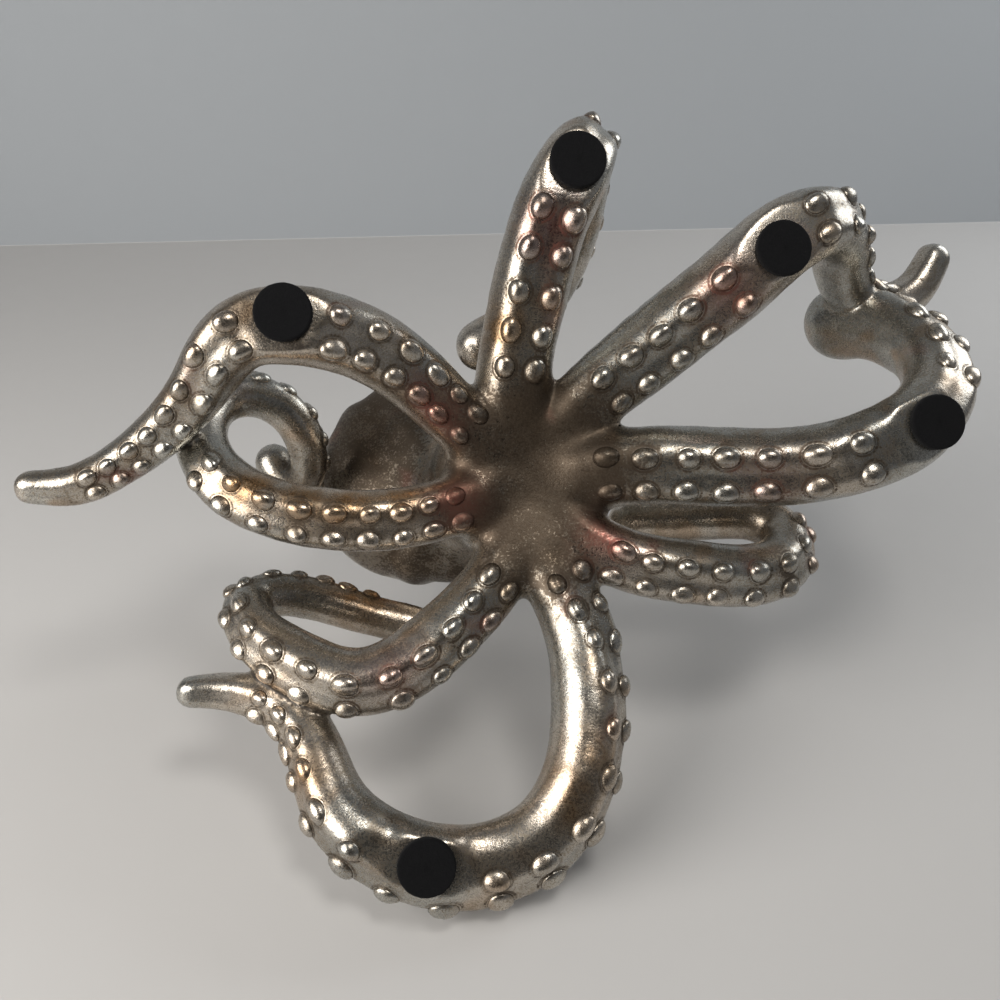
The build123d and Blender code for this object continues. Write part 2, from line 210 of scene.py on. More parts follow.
class Arm:
    # An arm's middle line at even steps, with the frame carried along it.
    def __init__(self, route):
        route = np.array(route)
        radius = arms["radius"] * route[:, 3]
        places = np.empty((len(route), 3))
        places[:, :2] = figure["planRadius"] * route[:, :2] + hub[:2]
        places[:, 2] = low + figure["settle"] * radius + figure["hubLift"] * route[:, 2]
        marks = np.append(0.0, np.cumsum(np.linalg.norm(np.diff(places, axis=0), axis=1)))
        fine = np.linspace(0, marks[-1], arms["lineSteps"])
        line = splineThrough(marks, places, fine)
        along = np.append(0.0, np.cumsum(np.linalg.norm(np.diff(line, axis=0), axis=1)))
        self.length = along[-1]
        self.s = np.linspace(0, self.length, int(self.length / arms["ringStep"]) + 1)
        self.p = np.stack([np.interp(self.s, along, line[:, k]) for k in range(3)], axis=1)
        self.t = unit(np.gradient(self.p, axis=0))
        stationS = np.interp(marks, fine, along)
        reach = arms["blurRings"]
        blur = np.exp(-0.5 * (np.arange(-reach, reach + 1) / arms["blurWidth"]) ** 2)
        blur /= blur.sum()
        self.r, self.roll = (
            np.convolve(np.pad(np.interp(self.s, stationS, v), reach, mode="edge"), blur, mode="valid")
            for v in (radius, route[:, 4] * math.pi / 2)
        )
        under = np.array([0.0, 0.0, -1.0])
        self.u = np.empty_like(self.p)
        for i, t in enumerate(self.t):
            under = under - t * under.dot(t)
            under /= np.linalg.norm(under)
            self.u[i] = under
        self.v = np.cross(self.t, self.u)

    def at(self, s):
        # The line's place and frame, the radius and the roll at a distance along it.
        def pick(a):
            if a.ndim == 1:
                return np.interp(s, self.s, a)
            return np.array([np.interp(s, self.s, a[:, k]) for k in range(3)])
        t = unit(pick(self.t))
        u = pick(self.u)
        u = unit(u - t * u.dot(t))
        return pick(self.p), t, u, np.cross(t, u), float(pick(self.r)), float(pick(self.roll))


def armProfile(angle):
    # Radius round the section: flat below, with a valley between the rows and a lip on each side.
    flat = arms["flat"] / np.maximum(np.cos(angle), arms["steepest"])
    k = arms["flatBlend"]
    h = np.clip(0.5 + 0.5 * (flat - 1.0) / k, 0, 1)
    out = flat * (1 - h) + h - k * h * (1 - h)
    a = np.abs(angle)
    out -= bell(a, *arms["valley"])
    out += bell(a, *arms["lip"]) - bell(a, *arms["groove"])
    return out


def latheOf(rings):
    # Closed mesh over rings of equal count, with fans at both ends.
    sides = len(rings[0])
    points = np.concatenate(rings + [rings[0].mean(0)[None], rings[-1].mean(0)[None]])
    faces = []
    for i in range(len(rings) - 1):
        for j in range(sides):
            k = (j + 1) % sides
            faces.append((i * sides + j, i * sides + k, (i + 1) * sides + k, (i + 1) * sides + j))
    first, last, top = len(points) - 2, len(points) - 1, (len(rings) - 1) * sides
    for j in range(sides):
        k = (j + 1) % sides
        faces.append((first, k, j))
        faces.append((last, top + j, top + k))
    return points, faces


def tubeMesh(arm, spots):
    # Away from its pad, a low arm's lower half is pressed in rather than cut flat.
    angle = roundTurns(arms["sides"], -math.pi)
    shape = armProfile(angle)
    stations = [(*station, 1.0) for station in zip(arm.p, arm.t, arm.u, arm.v, arm.r, arm.roll)]
    p, t, u, v, r, roll, _ = stations[-1]
    stations += [(p + t * r * reach, t, u, v, r, roll, size) for reach, size in arms["tip"]]
    rings = []
    for p, t, u, v, r, roll, size in stations:
        ring = circle(p, (r * size * shape)[:, None], u, v, angle + roll)
        depth = p[2] - ring[:, 2].min()
        room = p[2] - low
        if depth > room:
            away = min((math.hypot(*(p[:2] - q)) for q in spots), default=1.0)
            pressed = np.where(ring[:, 2] < p[2], p[2] - (p[2] - ring[:, 2]) * room / depth, ring[:, 2])
            ring[:, 2] += smooth(*arms["pressReach"], away) * (pressed - ring[:, 2])
        rings.append(ring)
    return latheOf(rings)


body = {
    "height": 0.112,
    "radius": 0.0455,
    "lean": 0.044,
    "sides": 96,
    "rings": 80,
    # Height, lean left, lean back and radius, in shares of the sizes above
    "sections": [
        (0.00, 0.00, 0.00, 0.60), (0.09, 0.00, 0.00, 0.73), (0.20, 0.05, 0.00, 0.73),
        (0.32, 0.18, 0.00, 0.65), (0.42, 0.36, 0.00, 0.68), (0.53, 0.60, 0.00, 0.86),
        (0.64, 0.82, -0.05, 0.99), (0.75, 0.93, -0.05, 0.98), (0.86, 0.98, 0.00, 0.80),
        (0.94, 1.00, 0.00, 0.55), (0.99, 1.00, 0.00, 0.25),
    ],
}


def bodyMesh():
    table = np.array(body["sections"])
    heights = np.linspace(0, table[-1, 0], body["rings"])
    turn = roundTurns(body["sides"])
    rings = []
    for h, (left, back, radius) in zip(heights, splineThrough(table[:, 0], table[:, 1:], heights)):
        middle = hub + np.array([-body["lean"] * left, body["lean"] * back, body["height"] * h])
        rings.append(circle(middle, body["radius"] * radius, (1, 0, 0), (0, 1, 0), turn))
    return latheOf(rings)


# Eyes, guessed: lidded, each with a level slit, one on either side of the head
eyes = {
    "height": 0.041,
    "spread": 0.022,
    "forward": 0.003,
    "radius": 0.0085,  # of its mound
    "longer": 1.15,
    "moundRings": 24,
    "size": 0.0068,
    "sides": 48,
    "rings": 25,
    "way": (0.15, 1.0, 0.12),  # that it looks: forward, outwards, up
    "squash": 0.86,
    "ball": (0.0021, 0.56),  # height, and edge in the eye's size
    "lid": (0.0013, 0.74, 0.13),  # height, and place and width in the eye's size
    "lidShade": (0.9, 0.57, 0.06),
    "slit": (0.0008, 0.0022, 0.0006),  # depth, half length, half width
    "fade": (0.85, 1.0),
    "lift": 0.00003,
    "topLift": 0.0012,
    "topShade": 0.6,
    "slitShade": 0.0009,  # depth at which the slit is fully dark
    "findRay": (0.03, 0.05),  # start over the mound's middle, and reach
    "layRay": (0.008, 0.02),
    "root": 0.003,
    # The eye's value in the layer of wear and painted shade
    "dusk": 0.05,
}


def eyeMiddle(side):
    return hub + np.array([-eyes["forward"], side * eyes["spread"], eyes["height"]])


def moundMesh(side):
    turn = roundTurns(2 * eyes["moundRings"])
    rings = []
    for a in np.linspace(math.pi, 0, eyes["moundRings"] + 1)[1:-1]:
        rings.append(eyeMiddle(side) + eyes["radius"] * np.stack([
            eyes["longer"] * math.sin(a) * np.cos(turn), math.sin(a) * np.sin(turn),
            math.cos(a) + 0 * turn,
        ], axis=1))
    return latheOf(rings)


def gather(meshes):
    points, faces, start = [], [], 0
    for p, f in meshes:
        points.append(p)
        faces += [tuple(i + start for i in face) for face in f]
        start += len(p)
    return np.concatenate(points), faces


def placed(name, data):
    item = bpy.data.objects.new(name, data)
    bpy.context.scene.collection.objects.link(item)
    return item


def newObject(name, points, faces):
    mesh = bpy.data.meshes.new(name)
    mesh.from_pydata(points.tolist(), [], faces)
    return placed(name, mesh)


pads = {
    "radius": 0.010,
    "sides": 120,
    "places": {
        "pad_front": (0.063, -0.549, "arm_front"),
        "pad_front_right": (0.433, -0.404, "arm_front_right"),
        "pad_right": (0.716, -0.097, "arm_right"),
        "pad_back": (-0.198, 0.663, "arm_back"),
        "pad_front_left": (-0.442, -0.269, "arm_front_left"),
    },
    # Rim: radius and height in shares of the pad's
    "rim": [
        (0.975, 0.965), (0.992, 0.88), (1.0, 0.74), (1.0, 0.5), (0.998, 0.27), (0.988, 0.12), (0.965, 0.04),
    ],
    "upper": (0.04, 0.95, 10),  # first and last ring of the upper face, and how many
    "under": (0.93, 0.04, 16),
    "ragged": 0.00005,  # of the rim's edge
    "raggedFrom": 0.96,
    "pitted": 0.00004,  # of the underside
}

print("lines and rough union")
lines = {name: Arm(route) for name, route in arms["routes"].items()}
padSpots = {name: [] for name in lines}
for padRight, padBack, arm in pads["places"].values():
    padSpots[arm].append(onPlan(padRight, padBack))

casting = {
    "voxel": 0.0011,
    "evening": (0.5, 3),  # strength and rounds, against the voxels' steps
    "webEvening": (0.6, 45),  # the same where the arms' roots blend round the hub
    "webReach": (0.040, 0.066),
    "webFlatness": 0.9,
    "padEase": 0.0012,  # soft edge round the flat that a pad is glued to
    "boxEase": 0.001,
    "boxEdge": 0.00003,
    "hiddenShade": 0.5,  # of the caps and of what is sunk in
}
rough = [tubeMesh(line, padSpots[name]) for name, line in lines.items()]
rough += [bodyMesh(), moundMesh(-1), moundMesh(1)]
union = newObject("union", *gather(rough))
remesh = union.modifiers.new("union", "REMESH")
remesh.mode = "VOXEL"
remesh.voxel_size = casting["voxel"]
whole = bpy.data.meshes.new_from_object(union.evaluated_get(bpy.context.evaluated_depsgraph_get()))
bpy.data.objects.remove(union)
print("union", len(whole.vertices), "points")


def coordinates(mesh):
    out = np.empty(len(mesh.vertices) * 3)
    mesh.vertices.foreach_get("co", out)
    return out.reshape(-1, 3)


def setPlaces(mesh, x):
    mesh.vertices.foreach_set("co", x.astype(np.float32).ravel())
    mesh.update()


def vertexNormals(mesh):
    out = np.empty(len(mesh.vertices) * 3, np.float32)
    mesh.vertex_normals.foreach_get("vector", out)
    return out.reshape(-1, 3).astype(float)


def sumTo(count, index, values):
    return np.stack([np.bincount(index, values[:, k], count) for k in range(values.shape[1])], axis=1)


class Relaxer:
    # Moves each vertex towards the middle of its neighbours.
    def __init__(self, mesh):
        edges = np.empty(len(mesh.edges) * 2, np.int32)
        mesh.edges.foreach_get("vertices", edges)
        self.a, self.b = edges.reshape(-1, 2).T
        self.count = len(mesh.vertices)
        self.valence = sum(np.bincount(ends, minlength=self.count) for ends in (self.a, self.b))

    def neighbours(self, x):
        total = sumTo(self.count, self.a, x[self.b]) + sumTo(self.count, self.b, x[self.a])
        return total / np.maximum(self.valence, 1)[:, None]

    def relax(self, x, weight, rounds):
        for _ in range(rounds):
            x = x + weight[:, None] * (self.neighbours(x) - x)
        return x


points = coordinates(whole)
relaxer = Relaxer(whole)
everywhere = np.ones(len(points))
fromHub = np.linalg.norm((points - hub) * (1.0, 1.0, casting["webFlatness"]), axis=1)
inWeb = 1 - smooth(*casting["webReach"], fromHub)
(strength, rounds), (webStrength, webRounds) = casting["evening"], casting["webEvening"]
points = relaxer.relax(points, strength * everywhere, rounds)
points = relaxer.relax(points, webStrength * inWeb, webRounds)
points = relaxer.relax(points, strength * everywhere, rounds)

soft = casting["padEase"]
over = points[:, 2] - low
points[:, 2] = np.where(over < soft, low + soft * np.exp(np.minimum(over - soft, 0) / soft), points[:, 2])
points[:, 2] = np.maximum(points[:, 2], low)
setPlaces(whole, points)
normals = vertexNormals(whole)

# Long shallow folds on the mantle, and the unevenness of a hand-finished casting
skin = {
    "foldCount": 11,
    "foldDepth": 0.0007,
    "foldMiddle": 0.030,  # left of the hub, where the folds would meet
    "foldSway": (1.6, 0.05, 3),  # strength, wave length, seed
    "crown": (0.010, 0.032),  # from the crown's middle, where the folds set in
    "mantleRise": (0.030, 0.055),  # over the hub
    "mantleMiddle": 0.035,  # left of the hub
    "mantleReach": (0.055, 0.075),
    "dents": [(0.00006, 0.010, 5), (0.00022, 0.034, 6)],  # height, wave length, seed
    "lowHold": 0.0025,
}


def wavy(x, scale, seed, count=18, spread=(0.7, 1.3), phases=6.28):
    # Soft noise about -1..1: waves of much the same length in many directions.
    r = np.random.default_rng(seed)
    total = np.zeros(len(x))
    for _ in range(count):
        d = unit(r.normal(size=3)) * 2 * math.pi / scale * r.uniform(*spread)
        total += np.sin(x @ d + r.uniform(0, phases))
    return total / math.sqrt(count)


offRight, offBack = points[:, 0] - hub[0], points[:, 1] - hub[1]
fromMantle = np.hypot(offRight + skin["mantleMiddle"], offBack)
inMantle = smooth(*(hub[2] + np.array(skin["mantleRise"])), points[:, 2])
inMantle = inMantle * (1 - smooth(*skin["mantleReach"], fromMantle))
around = np.arctan2(offBack, offRight + skin["foldMiddle"])
sway, swayLength, swaySeed = skin["foldSway"]
folds = np.sin(skin["foldCount"] * around + sway * wavy(points, swayLength, swaySeed)) * skin["foldDepth"]
folds = folds * smooth(*skin["crown"], np.hypot(offRight + body["lean"], offBack))
uneven = sum(height * wavy(points, length, seed) for height, length, seed in skin["dents"])
lowHold = smooth(low, low + skin["lowHold"], points[:, 2])
points = points + normals * ((folds * inMantle + uneven) * lowHold)[:, None]
setPlaces(whole, points)
normals = vertexNormals(whole)
quads = np.empty(len(whole.loops), np.int32)
whole.loops.foreach_get("vertex_index", quads)
quads = quads.reshape(-1, 4)
surface = BVHTree.FromPolygons(points.tolist(), quads.tolist())


def castFrom(start, way, reach):
    # Where a ray meets the casting, the face there and the distance.
    hit, _, face, distance = surface.ray_cast(Vector(start), Vector(way), reach)
    if hit is None:
        return None, None, None
    return np.array(hit), face, distance


def normalAt(face):
    return normals[quads[face]].mean(axis=0)


suckers = {
    "radius": 0.0040,
    "pitch": 0.0136,
    "first": 0.027,
    "firstShares": {
        "arm_front": 1.51, "arm_front_right": 1.52, "arm_right": 1.0, "arm_back_right": 1.55,
        "arm_back": 1.43, "arm_back_left": 1.44, "arm_left": 1.0, "arm_front_left": 1.02,
    },
    "growthReach": 0.090,  # along the arm, from the small suckers at the hub to the full ones
    "rootShare": 0.85,
    "grownShare": 1.15,
    "thinnest": 0.34,
    "bareTip": 0.020,
    "rowAngle": 28.0,
    "aimBlend": 0.8,  # of the arm's own surface in the way that a sucker points
    # Rays from the arm's line to its skin, in its radius
    "castStart": 0.2,
    "castReach": 2.5,
    "skinReach": 1.05,
    # Where a sucker is left out: metres, and shares of its radius
    "lowGap": 0.0006,
    "floorGap": 0.0004,
    "skinGap": 0.0004,
    "downward": -0.5,
    "tallest": 0.62,
    "padGap": 1.10,
    "armGap": 1.5,
    # How the suckers differ
    "rowSway": 2.0,
    "shift": 0.0006,
    "sizes": (0.90, 1.08),
    "pitches": (0.96, 1.04),
    "lean": 0.20,
    "stretches": (0.98, 1.18),
    "heights": (0.88, 1.10),
    "bend": 0.5,
    # The dome, in its radius, and the rings outside it: reach, height, darkness
    "height": 0.54,
    "domeRings": 8,
    "sides": 26,
    "bluntness": 1.15,
    "rim": [
        (0.975, 0.05, 0.50), (1.01, -0.04, 1.0), (1.07, -0.02, 1.0), (1.13, 0.0, 0.45), (1.28, 0.0, 0.30),
    ],
    "lift": 0.00003,
    "root": 0.7,
    # Rays down to the skin, in its radius: start over it, reach, and depth where they meet nothing
    "rays": (1.2, 3.2, 0.4),
    "outOfRound": (0.05, 0.04),
    # Value in the layer of wear and painted shade where a ray meets nothing, and at the root
    "rootWearAndShade": 0.2,
    "duller": 0.10,  # than the arm, but for its top, which shines more
    "shine": 0.16,
}


def suckerPlaces(name, line):
    # Two rows along the arm's underside, but for places that a pad, the floor or another arm takes.
    found = []
    spots = padSpots[name]
    place = suckers["first"] * suckers["firstShares"][name]
    while place < line.length - suckers["bareTip"]:
        p, t, u, v, r, roll = line.at(place)
        grown = min(place / suckers["growthReach"], 1)
        share = suckers["rootShare"] + (suckers["grownShare"] - suckers["rootShare"]) * grown
        share *= max(r / arms["radius"], suckers["thinnest"])
        size = suckers["radius"] * math.sqrt(share)
        for side in (-1, 1):
            sway = rng.uniform(-suckers["rowSway"], suckers["rowSway"])
            a = roll + side * math.radians(suckers["rowAngle"] + sway)
            aim = math.cos(a) * u + math.sin(a) * v
            shift = t * rng.uniform(-suckers["shift"], suckers["shift"])
            start = p + shift + aim * r * suckers["castStart"]
            hit, face, reach = castFrom(start, aim, r * suckers["castReach"])
            if hit is None or reach > suckers["skinReach"] * r:
                continue
            if hit[2] < low + suckers["lowGap"] and not spots:
                continue
            away = min((np.hypot(*(hit[:2] - q)) for q in spots), default=1.0)
            if away < pads["radius"] + size * suckers["padGap"]:
                continue
            if hit[2] - size * suckers["tallest"] < suckers["floorGap"] and aim[2] < suckers["downward"]:
                continue
            if castFrom(hit + aim * suckers["skinGap"], aim, size * suckers["armGap"])[0] is not None:
                continue
            found.append({
                "hit": hit, "aim": unit(aim + suckers["aimBlend"] * normalAt(face)), "along": t,
                "size": size * rng.uniform(*suckers["sizes"])})
        place += suckers["pitch"] * share * rng.uniform(*suckers["pitches"])
    return found


def treeOf(spots):
    tree = KDTree(len(spots))
    for i, spot in enumerate(spots):
        tree.insert(spot, i)
    tree.balance()
    return tree


print("sucker places")
suckerSpots = {name: suckerPlaces(name, line) for name, line in lines.items()}
allSpots = [spot for group in suckerSpots.values() for spot in group]
print("suckers", len(allSpots))

# Where the brown wash lies, in hollows and round the suckers, and where shade is painted: darker near the
# hub, under the mantle and on sides that face down
wash = {
    "evening": (0.5, 40),
    "hollows": (0.00005, 0.0011),  # depth under the evened surface, from none to full
    "ridges": (0.0003, 0.0016),
    "suckerRing": (0.30, 1.15, 0.30),  # strength, and place and width in the sucker's radius
    "down": (-0.1, 0.8),
    "hubReach": (0.022, 0.060),
    "hubRise": 0.004,
    "mantleTurn": (-0.35, 0.15),
    # Darkness: all is an even base of wash and ridge takes some off raised parts; hub, mantle and underside
    # are painted shade
    "all": 0.12,
    "hub": 0.42,
    "mantle": 0.28,
    "underside": 0.06,
    "ridge": 0.16,
}
nearestSucker = treeOf([spot["hit"] for spot in allSpots])
near = np.empty(len(points))
for i, x in enumerate(points.tolist()):
    _, j, distance = nearestSucker.find(x)
    near[i] = distance / allSpots[j]["size"]
strength, rounds = wash["evening"]
evened = relaxer.relax(points, strength * everywhere, rounds)
hollow = np.einsum("ij,ij->i", evened - points, normals)
crevice = np.clip(smooth(*wash["hollows"], hollow) + bell(near, *wash["suckerRing"]), 0, 1)
raised = smooth(*wash["ridges"], -hollow)
offHub = points - hub - np.array([0, 0, wash["hubRise"]])
nearHub = 1 - smooth(*wash["hubReach"], np.linalg.norm(offHub, axis=1))
facesDown = smooth(*wash["down"], -normals[:, 2])
mantleUnder = inMantle * (1 - smooth(*wash["mantleTurn"], normals[:, 2]))
# An even wash, less on ridges, with painted shade round the hub, under the mantle and on down-facing sides
dusk = wash["all"] + wash["hub"] * nearHub * facesDown + wash["mantle"] * mantleUnder
dusk = dusk + wash["underside"] * facesDown - wash["ridge"] * raised

print("owners")
seams = {"marks": 16, "rounds": 5}
nodeNames = ["body"] + list(lines)
marks, owners = [], []
turn = roundTurns(seams["marks"])
for n, line in enumerate(lines.values(), 1):
    for i in range(len(line.s)):
        marks += circle(line.p[i], line.r[i], line.u[i], line.v[i], turn).tolist()
        owners += [n if line.s[i] > figure["webRadius"] else 0] * len(turn)
bodyMarks = bodyMesh()[0].tolist()
marks += bodyMarks
owners += [0] * len(bodyMarks)
nearestMark = treeOf(marks)
owner = np.array([owners[nearestMark.find(m)[1]] for m in points[quads].mean(axis=1).tolist()])
corners = np.maximum(np.bincount(quads.ravel(), minlength=len(points)), 1)
for _ in range(seams["rounds"]):
    # Each face goes with most of those around it, which evens the seams
    scores = []
    for number in range(len(nodeNames)):
        share = np.bincount(quads.ravel(), np.repeat(owner == number, 4), len(points)) / corners
        scores.append(share[quads].mean(axis=1))
    owner = np.argmax(scores, axis=0)

atEdge = {}
for f, face in enumerate(quads.tolist()):
    for a, b in zip(face, face[1:] + face[:1]):
        atEdge.setdefault((min(a, b), max(a, b)), []).append(f)
beside = [[] for _ in range(len(quads))]
for meeting in atEdge.values():
    for f in meeting:
        beside[f] += [g for g in meeting if g != f]


def patchesOf(number):
    # The piece's faces, in groups that hang together over their edges, the largest last.
    left = set(np.flatnonzero(owner == number).tolist())
    patches = []
    while left:
        patch, front = [], [min(left)]
        left.remove(front[0])
        while front:
            f = front.pop()
            patch.append(f)
            fresh = [g for g in dict.fromkeys(beside[f]) if g in left]
            left.difference_update(fresh)
            front += fresh
        patches.append(patch)
    return sorted(patches, key=len)


# Stray patches go to the piece round them
for number in range(len(nodeNames)):
    for patch in patchesOf(number)[:-1]:
        beyond = [int(owner[g]) for f in patch for g in beside[f] if owner[g] != number]
        owner[patch] = max(sorted(set(beyond)), key=beyond.count)


def capFaces(faces, where):
    # Shuts each open rim, where the pieces part, with a fan to its middle.
    edges = {(a, b) for face in faces for a, b in zip(face, face[1:] + face[:1])}
    after = {}
    for a, b in sorted(edges):
        if (b, a) not in edges:
            after.setdefault(a, []).append(b)
    caps, middles = [], []
    while after:
        walk = [min(after)]
        while walk:
            if walk[-1] not in after:
                walk.pop()
                continue
            step = after[walk[-1]].pop()
            if not after[walk[-1]]:
                del after[walk[-1]]
            if step not in walk:
                walk.append(step)
                continue
            # A rim that meets itself is shut loop by loop
            rim = walk[walk.index(step):]
            walk = walk[:walk.index(step) + 1]
            middle = len(where) + len(middles)
            middles.append(where[rim].mean(axis=0))
            caps += [(b, a, middle) for a, b in zip(rim, rim[1:] + rim[:1])]
    return caps, middles


class Patch:
    # A round mesh laid onto the casting: a top point, rings round it and a root that closes it inside.
    def __init__(self, sides):
        self.sides = sides
        self.rows = []

    # The third value carries the wear and the painted shade of the casting
    def put(self, place, dark, wearShade, turned):
        self.rows.append((place, dark, wearShade, turned))

    def finished(self, held):
        # held: how far each ring, from the outermost inwards, is shaded as the arm is.
        sides, last = self.sides, len(self.rows) - 1
        outer = last - sides
        faces = [(0, 1 + j, 1 + (j + 1) % sides) for j in range(sides)]
        for ring in range(1, outer, sides):
            for j in range(sides):
                k = (j + 1) % sides
                faces.append((ring + j, ring + sides + j, ring + sides + k, ring + k))
        faces += [(last, outer + (j + 1) % sides, outer + j) for j in range(sides)]
        asArm = np.zeros(len(self.rows))
        asArm[last] = 1.0
        for i, share in enumerate(held):
            asArm[outer - i * sides:last - i * sides] = share
        places, dark, wearShade, turned = (np.array(column) for column in zip(*self.rows))
        return places, faces, dark, wearShade, turned, asArm


def suckerMesh(spot):
    # A domed sucker with a fine line round it.
    size, n = spot["size"], spot["aim"]
    a = unit(spot["along"] - n * n.dot(spot["along"]))
    b = np.cross(n, a)
    lean = rng.uniform(-suckers["lean"], suckers["lean"], 2)
    stretch = rng.uniform(*suckers["stretches"])
    tall = suckers["height"] * rng.uniform(*suckers["heights"])
    bend = rng.uniform(-suckers["bend"], suckers["bend"])
    rayStart, rayReach, missDepth = suckers["rays"]
    oval, lobed = suckers["outOfRound"]
    patch = Patch(suckers["sides"])

    def lay(x, y, lift, dark):
        # Casts a ray down to the arm, and lays the point at its height over what it meets.
        over = spot["hit"] + a * x + b * y
        hit, face, _ = castFrom(over + n * size * rayStart, -n, size * rayReach)
        if hit is None:
            hit, normal, wearShade = over - n * size * missDepth, n, suckers["rootWearAndShade"]
        else:
            # Each point takes the wear and painted shade of the arm under it
            normal, wearShade = normalAt(face), dusk[quads[face]].mean()
        shine = suckers["shine"] * max(lift, 0) / (size * tall)
        patch.put(hit + n * lift, dark, wearShade + suckers["duller"] - shine, unit(normal))
    lay(size * lean[0], size * lean[1], size * tall, 0.0)
    arc = np.linspace(0, math.pi / 2, suckers["domeRings"])[1:-1]
    profile = [(math.sin(q), math.cos(q) ** suckers["bluntness"], 0.0) for q in arc] + suckers["rim"]
    for q, h, dark in profile:
        for angle in roundTurns(suckers["sides"]):
            wave = 1 + oval * math.cos(2 * angle + bend) + lobed * bend * math.cos(3 * angle)
            x = size * (q * stretch * wave * math.cos(angle) + lean[0] * max(h, 0))
            y = size * (q * wave * math.sin(angle) + lean[1] * max(h, 0))
            lay(x, y, size * tall * h + suckers["lift"], dark)
    inside = spot["hit"] - n * size * suckers["root"]
    patch.put(inside, casting["hiddenShade"], suckers["rootWearAndShade"], -n)
    return patch.finished([1.0, 1.0, 0.5])


def eyeMesh(side):
    # A lidded eye with a level slit, laid onto its mound.
    forward, outwards, up = eyes["way"]
    n = unit(np.array([-forward, side * outwards, up]))
    findStart, findReach = eyes["findRay"]
    layStart, layReach = eyes["layRay"]
    top = castFrom(eyeMiddle(side) + n * findStart, -n, findReach)[0]
    a = unit(np.array([1.0, 0.0, 0.0]) - n * n[0])
    b = np.cross(n, a)
    ballHeight, ballEdge = eyes["ball"]
    slitDepth, slitLength, slitWidth = eyes["slit"]
    patch = Patch(eyes["sides"])
    patch.put(top + n * eyes["topLift"], eyes["topShade"], eyes["dusk"], n)
    for q in np.linspace(0, 1, eyes["rings"] + 1)[1:]:
        for angle in roundTurns(eyes["sides"]):
            x = eyes["size"] * q * math.cos(angle)
            y = eyes["size"] * q * math.sin(angle) * eyes["squash"]
            spot, face, _ = castFrom(top + a * x + b * y + n * layStart, -n, layReach)
            if spot is None:
                spot, normal = top + a * x + b * y, n
            else:
                normal = unit(normalAt(face))
            ball = ballHeight * math.sqrt(max(0.0, 1 - (q / ballEdge) ** 2))
            slit = slitDepth * math.exp(-((x / slitLength) ** 4) - (y / slitWidth) ** 2)
            fade = 1 - smooth(*eyes["fade"], q)
            lift = (ball + bell(q, *eyes["lid"])) * fade - slit + eyes["lift"]
            dark = float(np.clip(bell(q, *eyes["lidShade"]) + slit / eyes["slitShade"], 0, 1))
            patch.put(spot + n * lift, dark, eyes["dusk"], normal)
    patch.put(top - n * eyes["root"], casting["hiddenShade"], eyes["dusk"], -n)
    return patch.finished([1.0])


def nodeTree(material):
    material.use_nodes = True
    tree = material.node_tree
    tree.nodes.clear()
    return tree


def feed(tree, socket, value):
    if isinstance(value, bpy.types.NodeSocket):
        tree.links.new(value, socket)
    else:
        socket.default_value = value


def add(tree, kind, inputs=None, **values):
    node = tree.nodes.new(kind)
    for key, value in values.items():
        setattr(node, key, value)
    for key, value in (inputs or {}).items():
        feed(tree, node.inputs[key], value)
    return node


def calculate(tree, operation, a, b, clamp=False):
    return add(tree, "ShaderNodeMath", {0: a, 1: b}, operation=operation, use_clamp=clamp).outputs[0]


def between(tree, value, low, high, start=0.0, end=1.0, soft=True):
    return add(tree, "ShaderNodeMapRange", {
        "Value": value, "From Min": low, "From Max": high, "To Min": start, "To Max": end,
    }, interpolation_type="SMOOTHSTEP" if soft else "LINEAR").outputs["Result"]


def mixColor(tree, factor, a, b):
    node = add(tree, "ShaderNodeMix", data_type="RGBA")
    for key, value in ((0, factor), (6, a), (7, b)):
        feed(tree, node.inputs[key], value)
    return node.outputs[2]


def noise(tree, vector, scale, detail, rough, warp=0.0):
    return add(tree, "ShaderNodeTexNoise", {
        "Vector": vector, "Scale": scale, "Detail": detail, "Roughness": rough, "Distortion": warp,
    }).outputs["Fac"]


def bumped(tree, strength, distance, height, normal=None):
    node = add(tree, "ShaderNodeBump", {"Strength": strength, "Distance": distance, "Height": height})
    if normal:
        tree.links.new(normal, node.inputs["Normal"])
    return node.outputs[0]


def newMaterial(name):
    material = bpy.data.materials.new(name)
    tree = nodeTree(material)
    return material, tree, add(tree, "ShaderNodeTexCoord").outputs["Object"]


def setSurface(tree, shader, clearAt=None):
    # clearAt: the share of the surface that lets light straight through.
    if clearAt:
        clear = add(tree, "ShaderNodeBsdfTransparent")
        shader = add(tree, "ShaderNodeMixShader", {0: clearAt, 1: shader.outputs[0], 2: clear.outputs[0]})
    add(tree, "ShaderNodeOutputMaterial", {"Surface": shader.outputs[0]})


speckle = {
    "fine": (3.0, 0.65),  # detail, roughness
    "coarse": (2.0, 0.6),
    "coarser": 0.31,  # its scale, in the fine one's
    "fineShare": 0.8,
    "coarseShare": 0.2,
    "coverTurn": (0.70, 0.34),  # height at which specks set in, for no cover and for full
}


